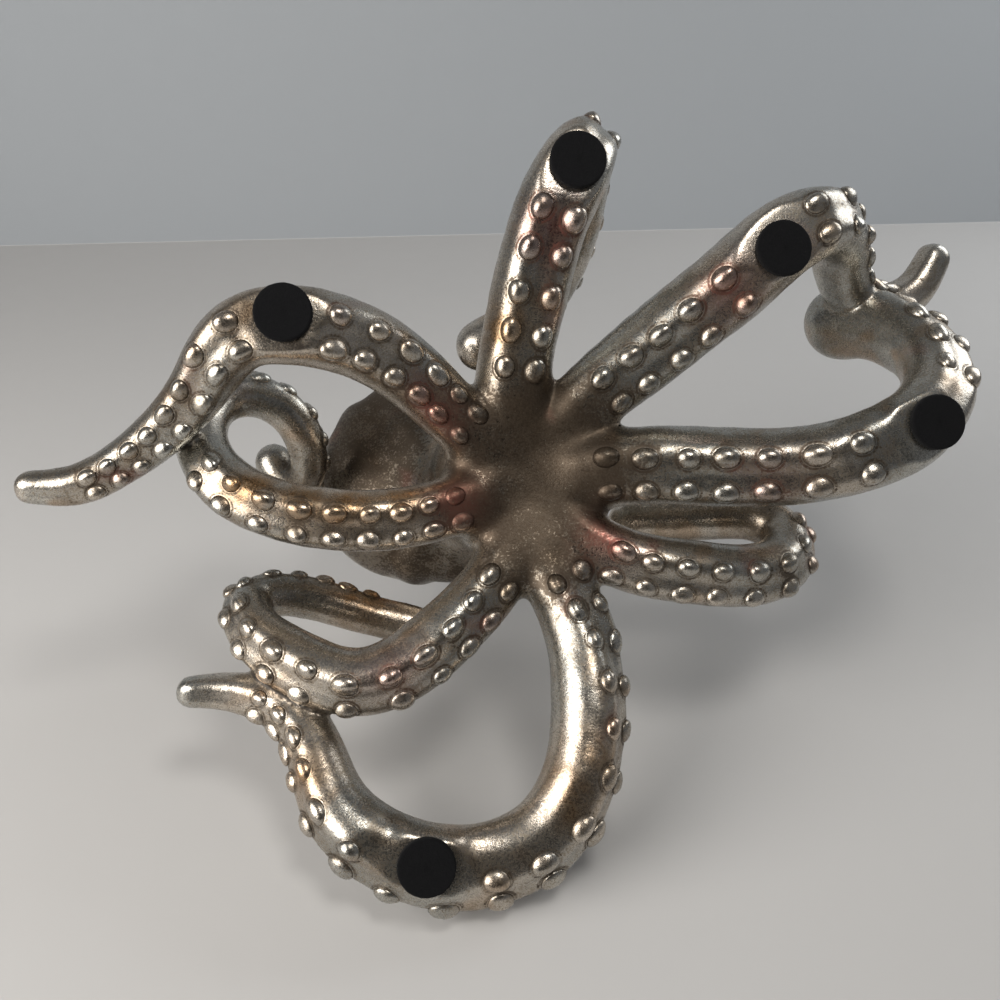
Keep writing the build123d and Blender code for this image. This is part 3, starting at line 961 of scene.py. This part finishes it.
def grainGroup():
    # Fine grain: a speckle mask whose share follows Cover, and a height for bump.
    group = bpy.data.node_groups.new("fineGrain", "ShaderNodeTree")
    sockets = group.interface
    sockets.new_socket("Vector", in_out="INPUT", socket_type="NodeSocketVector")
    for name, value in (("Scale", 900.0), ("Cover", 0.5), ("Edge", 0.08)):
        sockets.new_socket(name, in_out="INPUT", socket_type="NodeSocketFloat").default_value = value
    sockets.new_socket("Mask", in_out="OUTPUT", socket_type="NodeSocketFloat")
    sockets.new_socket("Height", in_out="OUTPUT", socket_type="NodeSocketFloat")
    entry = add(group, "NodeGroupInput")
    leave = add(group, "NodeGroupOutput")
    vector, scale, cover, edge = (entry.outputs[name] for name in ("Vector", "Scale", "Cover", "Edge"))

    def times(a, b):
        return calculate(group, "MULTIPLY", a, b)
    fine = noise(group, vector, scale, *speckle["fine"])
    coarse = noise(group, vector, times(scale, speckle["coarser"]), *speckle["coarse"])
    fine, coarse = times(fine, speckle["fineShare"]), times(coarse, speckle["coarseShare"])
    both = calculate(group, "ADD", fine, coarse)
    turn = between(group, cover, 0.0, 1.0, *speckle["coverTurn"], soft=False)
    start, end = (calculate(group, way, turn, edge) for way in ("SUBTRACT", "ADD"))
    group.links.new(between(group, both, start, end), leave.inputs["Mask"])
    group.links.new(both, leave.inputs["Height"])
    return group


# Each noise has its scale, detail, roughness and warp
silver = {
    "leaf": (0.74, 0.67, 0.58, 1.0),
    "coolLeaf": (0.50, 0.51, 0.48, 1.0),
    "warmLeaf": (0.50, 0.27, 0.10, 1.0),
    "tarnish": (0.21, 0.165, 0.115, 1.0),
    "wash": (0.058, 0.041, 0.027, 1.0),
    "darkWash": (0.014, 0.010, 0.007, 1.0),
    "bole": (0.30, 0.095, 0.075, 1.0),
    "grainScale": 1250.0,
    "grainEdge": 0.06,
    "bareGrain": 0.8,
    # How much each wears the leaf, and how strong each layer gets
    "wear": 0.30,
    "patchWear": 0.8,
    "blotWear": 0.45,
    "creviceWear": 0.40,
    "bareMost": 0.85,
    "warmMost": 0.5,
    "coolMost": 0.8,
    "redMost": 0.35,
    "warmShare": 0.85,
    "tarnishShare": 0.78,
    "deepMatt": 0.6,
    "thinRough": 0.10,
    "blotRough": 0.14,
    # Where each sets in and is full, then what it starts and ends at, where that isn't 0 and 1
    "bareAt": (0.40, 1.02),
    "warmAt": (0.54, 0.72),
    "goldAt": (0.25, 0.60, 0.55, 1.2),
    "coolAt": (0.40, 0.62),
    "flecksAt": (0.40, 0.58, 0.50, 0.0),
    # Where wear and painted shade turn into dark flecks of wash
    "duskAt": (0.30, 0.56, 0.0, 0.42),
    "redAt": (0.62, 0.80),
    "redGrainAt": (0.35, 0.62, 1.0, 0.60),
    "deepAt": (0.45, 1.0, 0.0, 0.85),
    "metal": (0.97, 0.82),  # of leaf and of bare wash
    "roughness": (0.25, 0.37),
    "patches": (34.0, 3.0, 0.55, 0.5),
    "blots": (170.0, 3.0, 0.60, 0.4),
    "warmth": (52.0, 2.0, 0.5, 0.3),
    "coolness": (21.0, 1.0, 0.5, 0.2),
    "redness": (40.0, 1.5, 0.5, 0.4),
    "grainBump": (0.60, 0.00016),  # strength, distance
    "dents": (0.35, 0.0004),
}

# Right, back and up from under the hub, reach, strength
stains = {
    "gold": [
        (-0.100, 0.004, 0.024, 0.009, 0.9), (-0.084, 0.008, 0.023, 0.010, 1.0),
        (-0.067, 0.009, 0.023, 0.010, 1.0), (-0.049, 0.007, 0.026, 0.010, 1.0),
        (-0.031, 0.002, 0.029, 0.009, 0.8), (-0.014, -0.054, 0.022, 0.010, 0.9),
        (-0.083, 0.104, 0.015, 0.010, 0.8), (0.011, 0.109, 0.005, 0.010, 0.7),
        (0.020, 0.097, 0.006, 0.009, 0.7), (-0.062, 0.042, 0.070, 0.018, 0.9),
        (-0.061, -0.022, 0.096, 0.014, 0.6), (0.100, 0.030, 0.066, 0.018, 0.5),
        (-0.100, -0.052, 0.012, 0.014, 0.5),
    ],
    "red": [
        (0.029, 0.023, 0.022, 0.010, 0.8), (-0.036, -0.020, 0.020, 0.010, 0.7),
        (-0.028, 0.009, 0.020, 0.011, 0.6), (0.003, -0.088, 0.006, 0.011, 0.6),
        (0.069, -0.066, 0.006, 0.012, 0.6), (-0.052, 0.068, 0.012, 0.012, 0.6),
        (0.085, 0.004, 0.006, 0.012, 0.4),
    ],
}


def stainAt(x, kind):
    out = np.zeros(len(x))
    for right, back, up, reach, strength in stains[kind]:
        off = np.linalg.norm(x - np.array([hub[0] + right, hub[1] + back, up]), axis=1)
        out = np.maximum(out, bell(off, strength, 0.0, reach))
    return out


def silverMaterial(grain):
    material, tree, place = newMaterial("antiquedSilverLeaf")
    crevice, dusk, gold, red = (
        add(tree, "ShaderNodeAttribute", attribute_name=name).outputs["Fac"]
        for name in ("crevice", "dusk", "gold", "red"))
    patches, blots, warmth, coolness, redness = (
        noise(tree, place, *silver[name]) for name in ("patches", "blots", "warmth", "coolness", "redness"))

    def times(a, b):
        return calculate(tree, "MULTIPLY", a, b)

    def plus(a, b, clamp=False):
        return calculate(tree, "ADD", a, b, clamp)

    def about(value, amount):
        return times(calculate(tree, "SUBTRACT", value, 0.5), amount)

    def grained(scale, cover):
        return add(tree, "ShaderNodeGroup", {
            "Vector": place, "Scale": scale, "Cover": cover, "Edge": silver["grainEdge"],
        }, node_tree=grain).outputs
    worn = plus(about(patches, silver["patchWear"]), about(blots, silver["blotWear"]))
    # Painted shade joins the wear here, through the layer of wear and painted shade
    worn = plus(plus(dusk, silver["wear"]), worn)
    worn = plus(worn, times(crevice, silver["creviceWear"]), clamp=True)
    specks = grained(silver["grainScale"], worn)
    thin = specks["Mask"]
    bare = grained(silver["grainScale"] * silver["bareGrain"], between(tree, worn, *silver["bareAt"]))
    bare = times(bare["Mask"], silver["bareMost"])
    # The leaf, from cool silver to warm gold, then tarnish and wash where it is worn and where shade is
    # painted
    warm = times(between(tree, warmth, *silver["warmAt"]), silver["warmMost"])
    warm = plus(warm, times(gold, between(tree, blots, *silver["goldAt"])), clamp=True)
    cool = times(between(tree, coolness, *silver["coolAt"]), silver["coolMost"])
    color = mixColor(tree, cool, silver["leaf"], silver["coolLeaf"])
    color = mixColor(tree, times(warm, silver["warmShare"]), color, silver["warmLeaf"])
    color = mixColor(tree, times(thin, silver["tarnishShare"]), color, silver["tarnish"])
    color = mixColor(tree, bare, color, silver["wash"])
    flecks = between(tree, specks["Height"], *silver["flecksAt"])
    # Painted shade: dark flecks of wash also where the layer of wear and painted shade is high
    flecks = plus(flecks, between(tree, dusk, *silver["duskAt"]))
    color = mixColor(tree, flecks, color, silver["wash"])
    # Red bole that shows through, and the dark of the crevices
    through = times(between(tree, redness, *silver["redAt"]), silver["redMost"])
    through = plus(through, red, clamp=True)
    through = times(through, between(tree, specks["Height"], *silver["redGrainAt"]))
    color = mixColor(tree, through, color, silver["bole"])
    deep = between(tree, crevice, *silver["deepAt"])
    color = mixColor(tree, deep, color, silver["darkWash"])
    clean = calculate(tree, "SUBTRACT", 1.0, times(deep, silver["deepMatt"]))
    metal = times(between(tree, bare, 0.0, 1.0, *silver["metal"]), clean)
    rough = plus(times(thin, silver["thinRough"]), about(blots, silver["blotRough"]))
    rough = plus(between(tree, bare, 0.0, 1.0, *silver["roughness"]), rough)
    normal = bumped(tree, *silver["grainBump"], specks["Height"])
    normal = bumped(tree, *silver["dents"], blots, normal)
    setSurface(tree, add(tree, "ShaderNodeBsdfPrincipled", {
        "Base Color": color, "Metallic": metal, "Roughness": rough, "Normal": normal}))
    return material


felt = {
    "color": (0.0035, 0.0035, 0.004, 1.0),
    "fluff": (0.008, 0.008, 0.009, 1.0),
    "grainScale": 2600.0,
    "cover": 0.45,
    "grainEdge": 0.2,
    "clumps": (420.0, 3.0, 0.6, 1.2),
    "bump": (0.8, 0.00035),
    "roughAt": (0.3, 0.7, 0.86, 0.98),  # from where to where in the clumps, and from what to what
    "sheen": 0.02,
    "sheenRough": 0.6,
    "specular": 0.10,
}


def feltMaterial(grain):
    material, tree, place = newMaterial("blackFelt")
    fibres = add(tree, "ShaderNodeGroup", {
        "Vector": place, "Scale": felt["grainScale"], "Cover": felt["cover"], "Edge": felt["grainEdge"],
    }, node_tree=grain).outputs
    clumps = noise(tree, place, *felt["clumps"])
    share = calculate(tree, "MULTIPLY", fibres["Mask"], clumps)
    color = mixColor(tree, share, felt["color"], felt["fluff"])
    height = calculate(tree, "ADD", fibres["Height"], clumps)
    rough = between(tree, clumps, *felt["roughAt"])
    setSurface(tree, add(tree, "ShaderNodeBsdfPrincipled", {
        "Base Color": color, "Roughness": rough, "Normal": bumped(tree, *felt["bump"], height),
        "Sheen Weight": felt["sheen"], "Sheen Roughness": felt["sheenRough"],
        "Specular IOR Level": felt["specular"]}))
    return material


print("materials")
grain = grainGroup()
silverLeaf = silverMaterial(grain)
blackFelt = feltMaterial(grain)


def insideBox(x):
    # Eases what comes close to the CAD box back inside it.
    ease, edge = casting["boxEase"], casting["boxEdge"]
    boxLow, boxHigh = (np.array(c) for c in cadBox)
    for sign, wall in ((1, boxHigh - edge), (-1, -boxLow - edge)):
        room = wall - sign * x
        x = np.where(room < ease, sign * (wall - ease * np.exp(np.minimum(room - ease, 0) / ease)), x)
    x[:, 2] = np.maximum(x[:, 2], 0.0)
    return x


def pieceName(node):
    words = node.split("_")
    return words[0] + "".join(w.capitalize() for w in words[1:]) + ("Casting" if node == "body" else "")


def castingPiece(number, node):
    # The node's share of the casting, capped at its seams, with its suckers or eyes.
    used, index = np.unique(quads[owner == number], return_inverse=True)
    faces = [tuple(f) for f in index.reshape(-1, 4).tolist()]
    caps, middles = capFaces(faces, points[used])
    capShade = np.full(len(middles), casting["hiddenShade"])
    parts = [(
        np.concatenate([points[used], middles]), faces + caps,
        np.append(crevice[used], capShade), np.append(dusk[used], capShade),
        np.concatenate([normals[used], np.zeros((len(middles), 3))]),
        np.append(np.ones(len(used)), np.zeros(len(middles))),
    )]
    parts += [suckerMesh(spot) for spot in suckerSpots.get(node, [])]
    if node == "body":
        parts += [eyeMesh(-1), eyeMesh(1)]
    where, faces = gather([part[:2] for part in parts])
    dark, wearShade, turned, held = (np.concatenate([part[k] for part in parts]) for k in range(2, 6))
    piece = newObject(pieceName(node), insideBox(where), faces)
    mesh = piece.data
    mesh.shade_smooth()
    # The second layer holds the wear together with the painted shade
    layers = {"crevice": dark, "dusk": wearShade, "gold": stainAt(where, "gold"), "red": stainAt(where, "red")}
    for label, values in layers.items():
        mesh.attributes.new(label, "FLOAT", "POINT").data.foreach_set("value", values.astype(np.float32))
    own = vertexNormals(mesh)
    custom = unit(own + held[:, None] * (turned - own))
    mesh.normals_split_custom_set_from_vertices(custom.tolist())
    mesh.materials.append(silverLeaf)
    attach(piece, "root")
    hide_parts(node)
    print(piece.name, len(mesh.polygons), "faces")


print("casting pieces")
for number, node in enumerate(nodeNames):
    castingPiece(number, node)


def padPiece(node, right, back):
    # A punched felt disc: flat above, with a rounded, ragged rim and a pitted underside.
    radius, thick, sides = pads["radius"], figure["padThickness"], pads["sides"]
    seed = np.random.default_rng(len(node) * 7)
    profile = [(q, thick) for q in np.linspace(*pads["upper"])]
    profile += [(q, thick * z) for q, z in pads["rim"]]
    profile += [(q, 0.0) for q in np.linspace(*pads["under"])]
    rings = []
    for q, z in profile:
        ragged = seed.normal(0, pads["ragged"], sides)
        ragged = (ragged + np.roll(ragged, 1) + np.roll(ragged, -1)) / 2
        r = np.minimum(radius * q + (ragged if q > pads["raggedFrom"] else 0 * ragged), radius)
        ring = circle((*onPlan(right, back), z), r[:, None], (1, 0, 0), (0, 1, 0), roundTurns(sides))
        if z == 0.0:
            ring[:, 2] += np.abs(seed.normal(0, pads["pitted"], sides))
        rings.append(ring)
    rings.reverse()
    piece = newObject(pieceName(node), *latheOf(rings))
    piece.data.shade_smooth()
    piece.data.materials.append(blackFelt)
    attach(piece, "root")
    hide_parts(node)


print("felt pads")
for node, (padRight, padBack, _) in pads["places"].items():
    padPiece(node, padRight, padBack)

print("camera")
view = {
    "place": (-0.050, 0.021, -0.3397),  # from under the hub
    "axes": ((0.9947, 0.0, -0.1024), (-0.0035, -0.9994, -0.0342), (-0.1024, 0.0344, -0.9942)),
    "focal": 36.108,
    "sensor": 36.0,
    "frame": 1000,  # pixels across the photo
    "nearest": 0.01,
}
underHub = np.array([hub[0], hub[1], 0.0])
eye = underHub + np.array(view["place"])
axes = np.array(view["axes"])
cameraData = bpy.data.cameras.new("photoView")
cameraData.lens = view["focal"]
cameraData.sensor_width = view["sensor"]
cameraData.clip_start = view["nearest"]
camera = placed("photoView", cameraData)
pose = np.eye(4)
pose[:3, :3] = axes.T
pose[:3, 3] = eye
camera.matrix_world = Matrix(pose.tolist())
bpy.context.scene.camera = camera

# The floor that the tipped figure lies on, with a wall behind it
print("stage")
stage = {
    "floorNormal": (0.0607, 0.805, 0.590),  # away from the figure
    "floorReach": 0.1346,  # from under the hub
    "horizon": ((0.0, 246.0), (1000.0, 222.0)),  # pixels where the floor meets the wall
    "cove": 0.001,
    "coveSteps": 8,
    "depths": (2.2, 1.2, 0.6, 0.3, 0.12),
    "heights": (0.2, 0.6, 1.4, 2.4),
    "halfWidth": 2.5,
    "floorColor": (0.47, 0.46, 0.45, 1.0),
    "wallColor": (0.37, 0.39, 0.41, 1.0),
    "paper": (60.0, 3.0, 0.6),
    "roughAt": (0.3, 0.7, 0.7, 0.8),
    "bump": (0.1, 0.001),
    "specular": 0.25,
}
floorNormal = unit(np.array(stage["floorNormal"]))
floorUp = -floorNormal
floorPoint = underHub + floorNormal * stage["floorReach"]


def onFloor(pixel):
    focal = view["focal"] / view["sensor"] * view["frame"]
    right, down = ((k - view["frame"] / 2) / focal for k in pixel)
    ray = axes[0] * right - axes[1] * down - axes[2]
    return eye + ray * ((floorPoint - eye) @ floorNormal) / (ray @ floorNormal)


horizonLeft, horizonRight = (onFloor(pixel) for pixel in stage["horizon"])
horizon = (horizonLeft + horizonRight) / 2
across = unit(horizonRight - horizonLeft)
toFront = unit(np.cross(across, floorUp))
if toFront @ (eye - horizonLeft) < 0:
    toFront = -toFront
profile = [(d, 0.0) for d in stage["depths"]]
for a in np.linspace(0, math.pi / 2, stage["coveSteps"] + 1):
    profile.append((stage["cove"] * (1 - math.sin(a)), stage["cove"] * (1 - math.cos(a))))
profile += [(0.0, h) for h in stage["heights"]]
stagePoints = [
    horizon + toFront * d + floorUp * h + across * side * stage["halfWidth"]
    for d, h in profile for side in (-1, 1)]
stageFaces = [(2 * i, 2 * i + 1, 2 * i + 3, 2 * i + 2) for i in range(len(profile) - 1)]
backdrop = newObject("backdrop", np.array(stagePoints), stageFaces)
if np.array(backdrop.data.polygons[0].normal) @ floorUp < 0:
    backdrop.data.flip_normals()
backdrop.data.shade_smooth()


def stageMaterial():
    # Pale paper, clear from behind so that it hides nothing in other views.
    material, tree, place = newMaterial("palePaper")
    rise = add(tree, "ShaderNodeVectorMath", {0: place, 1: tuple(horizon)}, operation="SUBTRACT").outputs[0]
    height = add(tree, "ShaderNodeVectorMath", {0: rise, 1: tuple(floorUp)}, operation="DOT_PRODUCT")
    onWall = between(tree, height.outputs["Value"], 0.0, stage["cove"])
    paper = noise(tree, place, *stage["paper"])
    shader = add(tree, "ShaderNodeBsdfPrincipled", {
        "Base Color": mixColor(tree, onWall, stage["floorColor"], stage["wallColor"]),
        "Roughness": between(tree, paper, *stage["roughAt"]), "Normal": bumped(tree, *stage["bump"], paper),
        "Specular IOR Level": stage["specular"]})
    setSurface(tree, shader, add(tree, "ShaderNodeNewGeometry").outputs["Backfacing"])
    return material


backdrop.data.materials.append(stageMaterial())

# Soft studio light: four round lamps in an even world
print("light")
lamps = [
    # name, direction from the figure, distance, size, watts, colour
    ("windowBox", (-0.80, -0.04, -0.56), 0.85, 0.74, 9.6, (1.0, 0.97, 0.93)),
    ("ceilingBox", (0.10, -0.55, -0.80), 0.80, 0.24, 2.2, (1.0, 0.98, 0.94)),
    ("rightBox", (0.75, -0.62, 0.05), 0.95, 0.60, 3.8, (0.95, 0.98, 1.0)),
    ("topBox", (-0.15, 0.35, 0.95), 0.90, 0.50, 2.4, (1.0, 0.98, 0.96)),
]
studio = {
    "middle": (0.0, 0.0, 0.04),
    "air": (0.175, 0.18, 0.19, 1.0),
    "card": (0.06, 0.054, 0.048, 1.0),
    "cardReach": 1.05,
    "cardRadius": 1.25,
    "cardRings": (0.05, 0.3, 0.55, 0.8, 1.0),
    "cardSides": 48,
    "cardFade": 0.35,
}
middle = np.array(studio["middle"])
for name, way, distance, size, watts, color in lamps:
    data = bpy.data.lights.new(name, "AREA")
    data.shape = "DISK"
    data.size = size
    data.energy = watts
    data.color = color
    lamp = placed(name, data)
    spot = middle + unit(np.array(way)) * distance
    lamp.location = spot
    lamp.rotation_euler = Vector(middle - spot).to_track_quat("-Z", "Y").to_euler()
world = bpy.data.worlds.new("studio")
bpy.context.scene.world = world
world.use_nodes = True
world.node_tree.nodes["Background"].inputs["Color"].default_value = studio["air"]

# A dark card behind the camera keeps the metal from washing out; the camera itself never sees it
towards = unit(eye - hub)
cardSide = unit(np.cross(towards, (0.0, 1.0, 0.0)))
cardUp = np.cross(cardSide, towards)
cardMiddle = middle + towards * studio["cardReach"]
sides = studio["cardSides"]
turn = roundTurns(sides)
cardRings = [
    circle(cardMiddle, q * studio["cardRadius"], cardSide, cardUp, turn) for q in studio["cardRings"]]
card = newObject("darkCard", np.concatenate(cardRings), [
    (i * sides + j, i * sides + (j + 1) % sides, (i + 1) * sides + (j + 1) % sides, (i + 1) * sides + j)
    for i in range(len(cardRings) - 1) for j in range(sides)] + [tuple(range(sides))])


def cardMaterial():
    material, tree, place = newMaterial("darkCloth")
    off = add(tree, "ShaderNodeVectorMath", {0: place, 1: tuple(cardMiddle)}, operation="DISTANCE")
    fade = studio["cardFade"] * studio["cardRadius"]
    rim = between(tree, off.outputs["Value"], fade, studio["cardRadius"])
    seen = add(tree, "ShaderNodeLightPath").outputs["Is Camera Ray"]
    cloth = add(tree, "ShaderNodeBsdfDiffuse", {"Color": studio["card"]})
    setSurface(tree, cloth, calculate(tree, "MAXIMUM", rim, seen))
    return material


card.data.materials.append(cardMaterial())

bpy.context.scene.view_settings.view_transform = "Standard"
